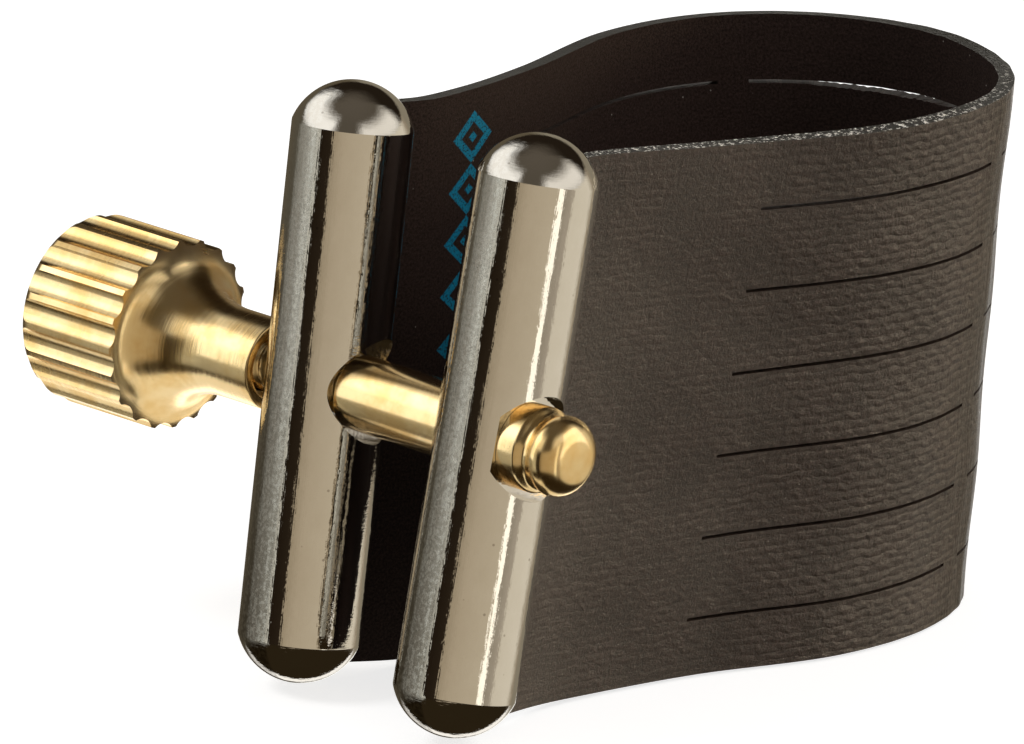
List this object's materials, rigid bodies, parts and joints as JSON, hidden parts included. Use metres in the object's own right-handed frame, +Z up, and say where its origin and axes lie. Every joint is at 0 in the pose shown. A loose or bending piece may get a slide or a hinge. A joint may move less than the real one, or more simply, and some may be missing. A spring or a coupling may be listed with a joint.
{
  "type": "saxophone ligature",
  "caption": "Flexible strap ligature that clamps a reed to a saxophone mouthpiece: a slit coated-fabric loop closed by domed rods, a knurled thumbscrew and a barrel nut.",
  "frame": {"origin": "on the mouthpiece's axis, in the plane that the strap's lower edge stands on", "axes": "+Z up the mouthpiece's axis, +X along the thumbscrew from its knob to its nose, -Y from the mouthpiece's axis towards the rods"},
  "size_m": [0.0354, 0.0455, 0.0313],
  "materials": {
    "coated_fabric": "rubber-coated woven cloth, satin outside, matte inside",
    "nickel_plate": "polished warm nickel plate with fine polishing marks",
    "knob_brass": "turned and polished brass",
    "stud_brass": "cut thread, bright",
    "barrel_brass": "turned satin brass"
  },
  "bodies": {
    "loop": {"strap": "coated_fabric", "front_rod": "nickel_plate"},
    "rear_slider": {"rear_rod": "nickel_plate"},
    "thumbscrew": {"thumbscrew_knob": "knob_brass", "threaded_stud": "stud_brass"},
    "nut": {"barrel_nut": "barrel_brass"}
  },
  "joints": [
    {"name": "rear_rod_slide", "type": "slide", "parent": "loop", "child": "rear_slider", "axis": [1, 0, 0], "range_m": [-0.0036, 0.0051], "deforming": ["strap"]},
    {"name": "thumbscrew_turn", "type": "hinge", "parent": "rear_slider", "child": "thumbscrew", "pos_m": [-0.00955, -0.022, 0.01575], "axis": [1, 0, 0], "range_deg": [-2170, 3070]},
    {"name": "nut_swivel", "type": "hinge", "parent": "loop", "child": "nut", "pos_m": [0, -0.022, 0.01575], "axis": [1, 0, 0], "continuous": true}
  ],
  "couplings": [
    {"joint": "thumbscrew_turn", "follows": "rear_rod_slide", "rad_per_m": 10472}
  ]
}
